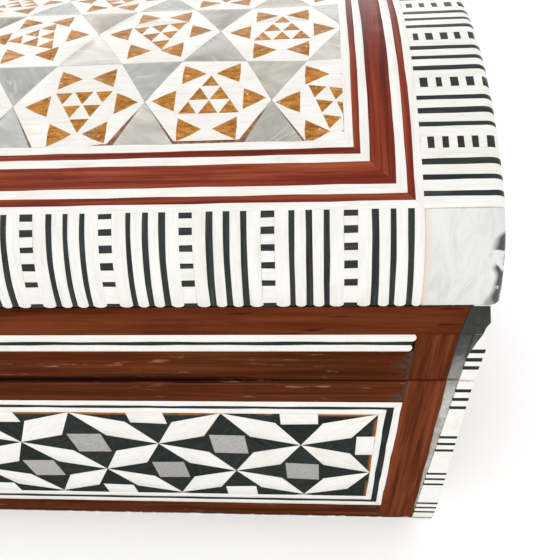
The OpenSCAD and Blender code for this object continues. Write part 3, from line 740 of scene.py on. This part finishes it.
bone = bone_material("bone")
bone_plain = bone_material("bone_ends", own=False, stretch=(1.2, 0.25, 2.2))
ebony = ebony_material("ebony")
ebony_plain = ebony_material("ebony_ends", own=False, finish=WAXED)
ebony_panel = ebony_material("ebony_panel", finish=WAXED, glued=True)
ebony_lines = ebony_material("ebony_lines", finish=WAXED)
red_wood = wood_material("red_wood", *RED, finish=LACQUER)
star_wood = star_wood_material()
pearl = pearl_material()
block_pearl = block_material()
grey_bone = grey_material()
filler = filler_material()
mastic = mastic_material()
rail_wood = wood_material("rail_wood", *RAIL, own=False, stretch=ALONG_X, worn_and_seam_shaded=True)
post_wood_own = wood_material("post_wood_tapered", *POST)
eaves_wood_own = wood_material("eaves_wood", *EAVES)
end_wood = wood_material("end_wood", *RAIL, own=False, stretch=ALONG_Y)
carcass_x = wood_material("carcass_wood", *CARCASS, own=False, stretch=ALONG_X)
carcass_y = wood_material("carcass_wood_side", *CARCASS, own=False, stretch=ALONG_Y)
velvet = velvet_material()
felt = felt_material()
brass = metal_material("brass", (0.72, 0.5, 0.2), (0.26, 0.15, 0.06), (1.2, 9, 9))
steel = metal_material("steel", (0.55, 0.55, 0.54), (0.25, 0.22, 0.19), (9, 2, 2))

# ---- CAD nodes that stay, with their materials ----

STAYS = (
    (carcass_x, "front_wall back_wall bottom_board lid_front_wall lid_back_wall roof_board"),
    (carcass_y, "left_wall right_wall left_gable right_gable"),
    (rail_wood, "front_rails back_rails lid_rails"),
    (mastic, "roof_mastic"),
    (brass, "case_hinge_leaves lid_hinge_leaves case_hinge_screws lid_hinge_screws"),
    (steel, "hinge_pins"),
)
for end in ("right", "left", "lid_right", "lid_left"):
    STAYS += (
        (end_wood, f"{end}_end_panel"),
        (bone_plain, f"{end}_border_bone"),
        (ebony_plain, f"{end}_border_ebony"),
    )
for material, nodes in STAYS:
    for node in nodes.split():
        slots = frame["nodes"][node].data.materials
        if not slots:
            slots.append(material)
        for index in range(len(slots)):
            slots[index] = material


# ---- Velvet linings and the felt under the case ----

COARSE_PILE = 260
FINE_PILE = 900


def glued_cloth(name, node, material, body, step, nap):
    """Cloth glued over a board: the node's shape with a wandering pile and softly rounded edges."""
    source = frame["nodes"][node]
    bm = bmesh.new()
    bm.from_mesh(source.data)
    bm.transform(source.matrix_world)
    bmesh.ops.remove_doubles(bm, verts=bm.verts, dist=1e-6)
    lo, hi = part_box(node)
    for axis in range(3):
        count = int((hi[axis] - lo[axis]) / step)
        length = hi[axis] - lo[axis]
        split_along(bm, axis, [lo[axis] + length * (k + 0.5) / count for k in range(count)])
    bmesh.ops.recalc_face_normals(bm, faces=bm.faces)
    bm.normal_update()
    pile = [noise.noise(v.co * COARSE_PILE) + 0.6 * noise.noise(v.co * FINE_PILE) for v in bm.verts]
    normals = [v.normal.copy() for v in bm.verts]
    for v, normal, swell in zip(bm.verts, normals, pile):
        v.co -= normal * nap * MM * (0.55 + 0.4 * swell)
    mesh = bpy.data.meshes.new(name)
    bm.to_mesh(mesh)
    bm.free()
    return finish_piece(name, mesh, material, body, [node], smooth=60)


glued_cloth("velvet_floor", "floor_lining", velvet, "case", 0.002, 0.12)
glued_cloth("velvet_walls", "wall_lining", velvet, "case", 0.002, 0.12)
glued_cloth("velvet_lid", "lid_lining", velvet, "lid", 0.002, 0.12)
glued_cloth("felt_base", "base_felt", felt, "case", 0.0015, 0.10)

# ---- Roof mosaic ----

# How far some stars sit off their grid, along the box and round the arch, by row and column
STAR_NUDGES = {
    (-1, 0): (1.0, 0.0), (-1, 1): (0.25, 0.25), (-1, 2): (-1.0, -0.5),
    (0, 0): (0.0, 0.0), (0, 1): (0.5, 0.0), (0, 2): (0.5, -0.75),
    (-2, 0): (0.75, 2.5), (-2, 1): (0.0, 2.5),
}
# How the pieced heart of a star is turned, in degrees
HEARTS = {(-1, 0): 180, (-1, 1): 0, (-1, 2): 170, (0, 0): -20, (0, 1): 190, (0, 2): 0}
# The neighbours of a star going round it, as steps in row and half-columns
NEIGHBOURS = ((0, 2), (1, 1), (1, -1), (0, -2), (-1, -1), (-1, 1))
MOSAIC_SHIFT = -0.9
LOOSE = 0.2

# Parts of a star as shares of its radius
STAR_R = STAR_PITCH / 2 * 0.965
POINT_REACH = 0.9
POINT_FOOT = 0.525
POINT_HALF_W = 0.212
POINT_SWELL = 0.014
NOTCH = 0.88
HEART_R = 0.55

# Distance from the crown beyond which pearl is stretched towards the edge, and where it ends at the front
EDGE_PEARL = 16
LAST_PEARL = 21.5

wander = random.Random(23)
star_spots = {}
for row in range(-3, 4):
    for half in range(-9, 10):
        if (row + half) % 2 == 0:
            loose = (wander.uniform(-LOOSE, LOOSE), wander.uniform(-LOOSE, LOOSE))
            nudge = STAR_NUDGES.get((row, (half - abs(row)) // 2), loose)
            star_spots[row, half] = (
                half * STAR_PITCH / 2 + nudge[0],
                row * ROW_PITCH + MOSAIC_SHIFT + nudge[1],
            )


def halfway(a, b):
    return (a[0] + b[0]) / 2, (a[1] + b[1]) / 2


def in_mosaic(shape):
    return within(shape, -MOSAIC_X, MOSAIC_X, -MOSAIC_ARC, MOSAIC_ARC)


def scaled(point, by, centre=(0, 0)):
    return tuple(c + (p - c) * by for p, c in zip(point, centre))


def star_arms(put, bones, points, rim):
    """The tan points of a star, the white pieces between them and the white piece inside."""
    arms = ring_points(6, 1.0)
    feet = [
        ((x * POINT_FOOT - y * POINT_HALF_W, y * POINT_FOOT + x * POINT_HALF_W),
         (x * POINT_FOOT + y * POINT_HALF_W, y * POINT_FOOT - x * POINT_HALF_W))
        for x, y in arms
    ]
    corners = [scaled(halfway(feet[k][0], feet[(k + 1) % 6][1]), 1.02) for k in range(6)]
    for k, (x, y) in enumerate(arms):
        j = (k + 1) % 6
        apex = scaled(arms[k], POINT_REACH * wander.uniform(0.96, 1.0))
        swell = []
        for foot, across in zip(feet[k], (POINT_SWELL, -POINT_SWELL)):
            middle = halfway(apex, foot)
            swell.append((middle[0] - across * y, middle[1] + across * x))
        put(points, [apex, swell[0], *feet[k], swell[1]], gap=0.0)
        between = [scaled(arms[j], NOTCH), feet[j][1], corners[k], feet[k][0], scaled(arms[k], NOTCH)]
        put(bones, between, (rim[k], rim[j]), gap=0.0, bevel=0.015, sink=0.015)
    inside = [p for k in range(6) for p in (feet[k][1], feet[k][0], corners[k])]
    put(bones, inside, gap=0.0, bevel=0.015, sink=0.02)


def star_heart(put, points, heart_turn):
    """Six small tan triangles that make up a larger one."""
    a, b, c = turned(ring_points(3, HEART_R, math.pi / 2), heart_turn)

    def spot(down, across):
        return tuple(a[i] + (b[i] - a[i]) * down / 3 + (c[i] - b[i]) * across / 3 for i in range(2))

    for line in range(3):
        for place in range(line + 1):
            small = [spot(line, place), spot(line + 1, place), spot(line + 1, place + 1)]
            middle = [sum(p[i] for p in small) / 3 for i in range(2)]
            size = wander.uniform(0.84, 0.96)
            put(points, [scaled(p, size, middle) for p in small], gap=0.0)


def star(bones, points, row, half, turn, heart_turn):
    """One six-pointed star, whose white pieces reach halfway to the neighbouring stars."""
    at = star_spots[row, half]
    rim = [scaled(halfway(at, star_spots[row + r, half + c]), 0.998, at) for r, c in NEIGHBOURS]

    def put(tiles, shape, placed=(), **more):
        """Adds a shape drawn round a star of radius 1, after points that are in place already."""
        shape = turned([scaled(p, STAR_R) for p in shape], turn, at)
        keep = in_mosaic(list(placed) + shape)
        if keep:
            tiles.add(keep, lie=turn, depth=SKIN - MASTIC_T, **more)

    star_arms(put, bones, points, rim)
    star_heart(put, points, heart_turn)


def pearl_shape(stars):
    """The triangle between three stars; near the mosaic's edge it doesn't quite fill its place."""
    shape = [halfway(a, b) for a, b in zip(stars, stars[1:] + stars[:1])]
    middle = sum(p[1] for p in shape) / 3
    if middle < -LAST_PEARL:
        return []
    if abs(middle) > EDGE_PEARL:
        tip = min(shape, key=lambda p: abs(p[1]))
        shape = [
            (tip[0] + (p[0] - tip[0]) * 0.98 + (0.3 if p != tip else 0), tip[1] + (p[1] - tip[1]) * 1.15)
            for p in shape
        ]
    return in_mosaic(shape)


def pearls(tiles):
    for row in range(-2, 2):
        for half in range(-8, 8):
            if (row + half) % 2:
                continue
            for steps in (NEIGHBOURS[0:2], NEIGHBOURS[1:3]):
                stars = [star_spots[row, half]]
                stars += [star_spots.get((row + r, half + c)) for r, c in steps]
                keep = [] if None in stars else pearl_shape(stars)
                if keep:
                    lie = wander.uniform(0, math.pi)
                    tiles.add(keep, lie=lie, depth=SKIN - MASTIC_T, tone=wander.random(), gap=0.0)


def lay_on_roof(name, tiles, material, slot, *nodes):
    lay(name, tiles, material, "lid", nodes, bends=ROOF_BENDS)


star_bones = Tiles(on_roof)
star_points = Tiles(on_roof)
pearl_tiles = Tiles(on_roof)
for row in range(-1, 2):
    for half in range(-6, 7):
        if (row + half) % 2 == 0:
            heart = HEARTS.get((row, (half - abs(row)) // 2), wander.choice((0, 180, 60, 170)))
            star(star_bones, star_points, row, half, wander.uniform(-0.03, 0.03), math.radians(heart))
pearls(pearl_tiles)
bed = Tiles(on_roof)
bed.add(
    [(-MOSAIC_X, -MOSAIC_ARC), (MOSAIC_X, -MOSAIC_ARC), (MOSAIC_X, MOSAIC_ARC), (-MOSAIC_X, MOSAIC_ARC)],
    depth=SKIN - MASTIC_T, sink=0.1, gap=0.0,
)
lay_on_roof("glue_bed", bed, mastic, "mastic")
lay_on_roof("star_bone", star_bones, bone, "bone", "roof_stars")
lay_on_roof("star_points", star_points, star_wood, "star_wood", "roof_star_points")
lay_on_roof("pearl_triangles", pearl_tiles, pearl, "pearl", "roof_pearl")

# ---- Lines round the mosaic ----

line_bone = Tiles(on_roof)
line_red = Tiles(on_roof)
edge = 0.0
for index, width in enumerate(BORDER):
    tiles = line_bone if index % 2 == 0 else line_red
    inner = (-MOSAIC_X - edge, MOSAIC_X + edge, -MOSAIC_ARC - edge, MOSAIC_ARC + edge)
    edge += width
    outer = (-MOSAIC_X - edge, MOSAIC_X + edge, -MOSAIC_ARC - edge, MOSAIC_ARC + edge)
    tiles.ring(inner, outer, (index + 1, index + 2 if index < 6 else 0), gap=0.0, bevel=0.03, sway=0.6)
lay_on_roof("roof_white_lines", line_bone, bone, "bone", "roof_lines_bone")
lay_on_roof("roof_red_lines", line_red, red_wood, "red_wood", "roof_lines_red")

# ---- Striped bands ----

band_bone = Tiles(on_roof)
band_ebony = Tiles(on_roof)

# Rungs of the ladders at the front and the back: their number, and where the first one is
RUNGS = 5
FIRST_RUNG = 0.4
# The round end of a stripe that runs down to the eaves, and how much shorter the stripe is
WHITE_END = (0.28, 0.28)
BLACK_END = (0.12, 0.24)


def rung_edges(start, end, along):
    """Where the pieces of a ladder change from white to black and back."""
    edges = [start]
    if along == "v":
        for k in range(RUNGS):
            middle = start + FIRST_RUNG + 1.72 * k + 0.05 * k ** 2
            half = rng.uniform(0.28, 0.45)
            edges += [middle - half, middle + half]
        edges += [end - 0.55, end - 0.02]
        return edges
    at = start + rng.uniform(0.55, 0.8)
    while at < end - 0.4:
        width = rng.uniform(0.62, 0.95)
        edges += [at, min(at + width, end - 0.1)]
        at += width + rng.uniform(0.80, 1.0)
    return edges + [end]


def ladder(centre, start, end, along, flip):
    """A column of black rungs with white between, running from start to end."""
    edges = rung_edges(start, end, along)
    for k in range(len(edges) - 1):
        tiles = band_bone if k % 2 == 0 else band_ebony
        a, b = edges[k], edges[k + 1]
        tilt = rng.uniform(-0.05, 0.05)
        low_side, high_side = centre - RUNG_W / 2, centre + RUNG_W / 2
        box = [(low_side, a), (high_side, a + tilt), (high_side, b + tilt), (low_side, b)]
        box = [(p, q * flip) for p, q in box] if along == "v" else [(q * flip, p) for p, q in box]
        tiles.add(box, lie=0, gap=0.0, bevel=0.015)


def stripes(count, start, end, pitch, along, flip, reach):
    """Three black stripes and a ladder, repeated count times to each side of the middle."""
    for column in range(-count, count + 1):
        middle = column * pitch
        edges = [-pitch / 2 + RUNG_W / 2]
        for line in (-1, 0, 1):
            width = STRIPE_W * rng.uniform(0.82, 1.15)
            edges += [line * STRIPE_PITCH - width / 2, line * STRIPE_PITCH + width / 2]
        edges.append(pitch / 2 - RUNG_W / 2)
        for k in range(len(edges) - 1):
            lo, hi = max(middle + edges[k], -reach), min(middle + edges[k + 1], reach)
            if hi - lo < 0.15:
                continue
            tiles = band_ebony if k % 2 else band_bone
            seeds = (column * 8 + k + 50, column * 8 + k + 51)
            nose, short = (0.0, 0.0) if along == "u" else BLACK_END if k % 2 else WHITE_END
            ends = (start * flip, (end - short) * flip)
            tiles.ribbon(
                ends, ends, lo, hi, seeds, along=along, step=2.5, nose=nose, sway=0.5, gap=0.0, bevel=0.02,
            )
        place = middle + pitch / 2
        if abs(place) + RUNG_W / 2 < reach:
            ladder(place, start, end, along, flip)


for flip in (-1, 1):
    stripes(5, BAND_ARC, FOOT_ARC, BAND_PITCH, "v", flip, BAND_X)
    stripes(3, BAND_X, HALF_W, END_PITCH, "u", flip, BAND_ARC)
lay_on_roof("band_bone", band_bone, bone, "bone", "roof_band_bone")
lay_on_roof("band_ebony", band_ebony, ebony, "ebony", "roof_band_ebony")

blocks = Tiles(on_roof)
for side in (-1, 1):
    for face in (-1, 1):
        blocks.add(
            [(side * BAND_X, face * BAND_ARC), (side * HALF_W, face * BAND_ARC),
             (side * HALF_W, face * FOOT_ARC), (side * BAND_X, face * FOOT_ARC)],
            lie=math.pi / 2, bevel=0.15,
        )
lay_on_roof("corner_blocks", blocks, block_pearl, "pearl", "roof_corner_blocks")


# ---- Front and back panels ----

COLUMNS = math.floor(4 * PANEL_X / LATTICE_W) + 1


def lattice_spot(column, row):
    return PANEL_X - column * LATTICE_W / 2, PANEL_Z1 - row * LATTICE_H / 2


def lozenges(white, field):
    """White lozenges that meet at the crossings of the lattice."""
    half_l = math.hypot(LATTICE_W, LATTICE_H) / 4
    lean = Vector((LATTICE_W, LATTICE_H)).normalized()
    for column in range(COLUMNS + 1):
        for row in range(3):
            lie = math.atan2(lean.y, lean.x) * (1 if (column + row) % 2 == 0 else -1)
            half_w = LOZENGE_HALF * rng.uniform(0.93, 1.05)
            shape = [(half_l, 0), (0, half_w), (-half_l, 0), (0, -half_w)]
            shape = turned(shape, lie, lattice_spot(column + 0.5, row + 0.5))
            white.add(within(shape, *field), lie=lie)


def dart(at, square, way):
    """A black piece between two lozenges, from the crossing beside a square to the square."""
    tip = (at[0] + way[0] * LATTICE_W / 2, at[1] + way[1] * LATTICE_H / 2)
    sides = []
    for hand in (1, -1):
        other = (-way[1] * hand, way[0] * hand)
        middle = (
            at[0] + (way[0] + other[0]) * LATTICE_W / 4,
            at[1] + (way[1] + other[1]) * LATTICE_H / 4,
        )
        along = Vector((middle[0] - tip[0], middle[1] - tip[1])).normalized()
        normal = Vector((-along.y, along.x))
        if normal.dot(Vector(at) - Vector(middle)) < 0:
            normal = -normal
        sides.append(tuple(Vector(middle) + normal * LOZENGE_HALF * 0.98))
    near, far = (min(square, key=lambda corner: math.dist(corner, side)) for side in sides)
    return [tip, sides[0], near, far, sides[1]]


def squares_and_darts(white, dark, grey, field):
    """Grey squares, white ones where the frame cuts them, and black darts round each."""
    w, h = SQUARE_W / 2, SQUARE_H / 2
    for column in range(COLUMNS + 1):
        for row in range(4):
            if (column + row) % 2 == 0:
                continue
            at = lattice_spot(column, row)
            skew = rng.uniform(-0.25, 0.25)
            square = [(w, h + skew), (-w, h - skew), (-w, -h - skew), (w, -h + skew)]
            square = [(at[0] + x, at[1] + y) for x, y in square]
            at_side, at_top = column == 0, row in (0, 3)
            tiles = dark if at_side and at_top else white if at_side or at_top else grey
            tiles.add(within(square, *field), lie=0.06)
            for way in ((0, 1), (-1, 0), (0, -1), (1, 0)):
                dark.add(within(dart(at, square, way), *field), lie=rng.uniform(0, 3), gap=0.03)


def panel_lines(white, dark):
    inner = (-PANEL_X, PANEL_X, PANEL_Z0, PANEL_Z1)
    for index in range(3):
        side = LINE_SIDE[2 - index]
        outer = (
            inner[0] - side, inner[1] + side,
            inner[2] - LINE_LOW[2 - index], inner[3] + LINE_HIGH[2 - index],
        )
        (dark if index == 1 else white).ring(inner, outer, (index + 21, index + 22))
        inner = outer


def panel(surface, face):
    white, dark, grey, line_white, line_dark = (Tiles(surface) for _ in range(5))
    field = (-PANEL_X, PANEL_X, PANEL_Z0, PANEL_Z1)
    lozenges(white, field)
    squares_and_darts(white, dark, grey, field)
    panel_lines(line_white, line_dark)
    for name, tiles, material, slot, node in (
        ("lozenges", white, bone, "bone", "panel_bone"),
        ("darts", dark, ebony_panel, "ebony", "panel_ebony"),
        ("squares", grey, grey_bone, "grey_bone", "panel_grey"),
        ("white_lines", line_white, bone, "bone", "line_bone"),
        ("black_line", line_dark, ebony_lines, "ebony", "line_ebony"),
    ):
        lay(f"{face}_{name}", tiles, material, "case", [f"{face}_{node}"])


panel(on_front, "front")
panel(on_back, "back")

# ---- Corner posts and the filler beside them ----

POST_TAPER = 0.028
POST_FOOT_X = 54.25


def post_edge(z):
    """The posts narrow towards the top, and the filler beside them widens."""
    return POST_FOOT_X - POST_TAPER * z


def corner_pieces(body, z0, z1):
    for name, surface, bends in (("front", on_front, ()), ("back", on_back, BACK_BENDS)):
        post = Tiles(surface)
        fill = Tiles(surface)
        for side in (-1, 1):
            seed = 60 + side

            def edge(z):
                return side * post_edge(z)

            post.ribbon((z0, z1), (z0, z1), side * POST_X0, edge, (0, seed), along="v", bevel=0.08)
            fill.ribbon(
                (z0, z1), (z0, z1), edge, side * END_X, (seed, 0), along="v",
                step=1.2, bevel=0.12, sink=0.08,
            )
        for kind, tiles, material, slot, node in (
            ("posts", post, post_wood_own, "post_wood", "posts"),
            ("filler", fill, filler, "filler", "corner_glue"),
        ):
            nodes = [f"{body}_{node}"] if name == "front" else []
            lay(f"{body}_{name}_{kind}", tiles, material, body, nodes, bends)


corner_pieces("case", FELT, CASE_H)
corner_pieces("lid", LID_Z, EAVES_Z)

# ---- Sloping eaves and the glue at their ends ----


def slope(side_y):
    """Surface over an eaves strip: u along the box, v up the slope from 0 to 1."""
    def place(u, v, h):
        foot_y = on_arch(np.array(FOOT_ARC), np.array(0.0))[0]
        y = HALF_D + (foot_y - HALF_D) * v
        z = EAVES_Z + (BAND_FOOT_Z - EAVES_Z) * v
        return u, side_y * (y + h * 0.62), z + h * 0.5
    return place


EAVES_TOP_X = 54.0
# Glue at the end of the eaves, as (x, share of the slope), and smeared over the post below it, as (x, z)
GLUE_OUTLINE = ((55.15, 0.0), (55.5, 0.22), (56.05, 0.42), (56.05, 1.0))
SMEAR_OUTLINE = ((54.2, 54.6), (54.45, 56.4), (54.8, 58.2), (55.15, 59.6), (54.2, 59.6))


def eaves(name, side_y, surface, nodes):
    strip = Tiles(slope(side_y))
    lumps = Tiles(slope(side_y))
    smear = Tiles(surface)
    foot = post_edge(EAVES_Z)
    strip.ribbon((-foot, foot), (-EAVES_TOP_X, EAVES_TOP_X), 0.0, 1.0, (0, 0), depth=2.4, bevel=0.02)
    for side in (-1, 1):
        outline = [(foot, 0.0), *GLUE_OUTLINE, (EAVES_TOP_X, 1.0)]
        lumps.add([(side * x, v) for x, v in outline], depth=2.2, bevel=0.015, sink=-0.07)
    for side in (-1, 1):
        smear.add([(side * x, z) for x, z in SMEAR_OUTLINE], depth=0.6, bevel=0.01, gap=0.0, sink=-0.022)
    lay(f"eaves_{name}", strip, eaves_wood_own, "lid", nodes)
    lay(f"eaves_glue_{name}", lumps, filler, "lid")
    lay(f"end_glue_{name}", smear, filler, "lid")


eaves("front", -1, on_front, ["lid_eaves"])
eaves("back", 1, on_back, [])

# ---- Line along the lid's rails ----

# How far each of the three lines ends before the post
LID_LINE_SHORT = (0.55, 0.55, 0.3)


def lid_lines(name, surface, white_nodes, black_nodes):
    white = Tiles(surface)
    black = Tiles(surface)
    at = low("lid_line_bone", Z)
    for index, (width, short) in enumerate(zip(LID_LINE, LID_LINE_SHORT)):
        tiles = black if index == 1 else white
        seeds = (31 + index if index else 0, 32 + index if index < 2 else 0)
        for side in (-1, 1):
            ends = (0, side * (POST_X0 - short))
            tiles.ribbon(ends, ends, at, at + width, seeds, nose=0.3, gap=0.0)
        at += width
    lay(f"lid_{name}_white_lines", white, bone, "lid", white_nodes)
    lay(f"lid_{name}_black_line", black, ebony_lines, "lid", black_nodes)


lid_lines("front", on_front, ["lid_line_bone"], ["lid_line_ebony"])
lid_lines("back", on_back, [], [])

# ---- Stage, light and camera ----

FLOOR_HALF = 1.2
CAMERA_LENS = 36.95
CAMERA_PLACE = (37.19, -74.43, 112.68)
CAMERA_YAW = 5.945
CAMERA_TILT = 40.842
CAMERA_ROLL = -4.986


def floor():
    mesh = bpy.data.meshes.new("floor")
    s = FLOOR_HALF
    mesh.from_pydata([(-s, -s, 0), (s, -s, 0), (s, s, 0), (-s, s, 0)], [], [(0, 1, 2, 3)])
    obj = bpy.data.objects.new("floor", mesh)
    bpy.context.scene.collection.objects.link(obj)
    p = Paint("floor", own=False)
    cloud = p.noise(p.place, 0.02, 2)
    colour = p.ramp(cloud, (0.3, (0.965, 0.965, 0.965)), (0.7, (0.98, 0.98, 0.98)))
    mesh.materials.append(p.finish(colour, 0.8, Emission_Color=(1, 1, 1, 1), Emission_Strength=0.12))


def softbox(name, place, aim, size, power):
    light = bpy.data.lights.new(name, "AREA")
    light.shape = "RECTANGLE"
    light.size, light.size_y = size
    light.energy = power
    obj = bpy.data.objects.new(name, light)
    obj.location = place
    obj.rotation_euler = (Vector(aim) - Vector(place)).to_track_quat("-Z", "Y").to_euler()
    bpy.context.scene.collection.objects.link(obj)


def camera():
    data = bpy.data.cameras.new("camera")
    data.sensor_width = 36.0
    data.lens = CAMERA_LENS
    data.clip_start = 0.005
    obj = bpy.data.objects.new("camera", data)
    turn = (
        Matrix.Rotation(math.radians(CAMERA_YAW), 4, "Z")
        @ Matrix.Rotation(math.radians(CAMERA_TILT), 4, "X")
        @ Matrix.Rotation(math.radians(CAMERA_ROLL), 4, "Z")
    )
    obj.matrix_world = Matrix.Translation(Vector(CAMERA_PLACE) * MM) @ turn
    bpy.context.scene.collection.objects.link(obj)
    bpy.context.scene.camera = obj


floor()
camera()
softbox("overhead", (-0.15, -0.30, 0.72), (0, 0, 0.05), (0.9, 0.7), 1.25)
softbox("behind", (-0.20, 0.75, 0.38), (0, 0, 0.06), (0.9, 0.35), 1.5)
softbox("front_fill", (0.35, -0.75, 0.35), (0, 0, 0.03), (0.8, 0.5), 0.5)
world = bpy.data.worlds.new("studio")
world.use_nodes = True
world.node_tree.nodes["Background"].inputs["Color"].default_value = (1, 1, 1, 1)
world.node_tree.nodes["Background"].inputs["Strength"].default_value = 0.93
bpy.context.scene.world = world
bpy.context.scene.view_settings.view_transform = "Standard"
